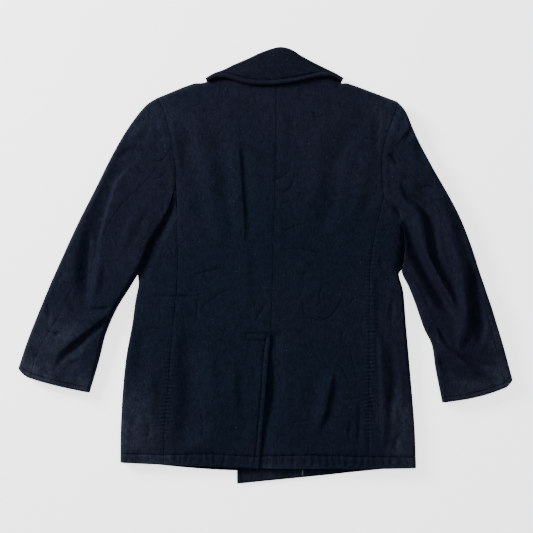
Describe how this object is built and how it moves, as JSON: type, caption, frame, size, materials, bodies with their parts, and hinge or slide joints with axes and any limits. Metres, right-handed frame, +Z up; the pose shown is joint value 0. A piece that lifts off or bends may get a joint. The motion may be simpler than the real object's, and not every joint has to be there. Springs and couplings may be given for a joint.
{
  "type": "pea coat",
  "caption": "Double-breasted navy wool pea coat laid flat on its front, back up, with a wide collar and a centre back vent.",
  "frame": {"origin": "centre of the outline on the surface that the coat lies on, below its underside", "axes": "+X across the coat from sleeve to sleeve, towards the wearer's right; +Y from hem to collar; +Z up, out of the coat's back"},
  "size_m": [0.9898, 0.8742, 0.0397],
  "materials": {
    "wool": "matte",
    "button": "satin"
  },
  "bodies": {
    "root": {"back_left": "wool", "back_right": "wool", "side_left": "wool", "side_right": "wool", "front_left": "wool", "front_right": "wool", "facing_right": "wool", "lapel_left": "wool", "lapel_right": "wool", "collar_fall": "wool", "collar_stand": "wool", "collar_end_left": "wool", "collar_end_right": "wool", "sleeve_left_top": "wool", "sleeve_left_under": "wool", "sleeve_right_top": "wool", "sleeve_right_under": "wool", "button_1": "button", "button_2": "button", "button_3": "button", "button_4": "button", "button_5": "button", "button_6": "button"}
  },
  "joints": []
}
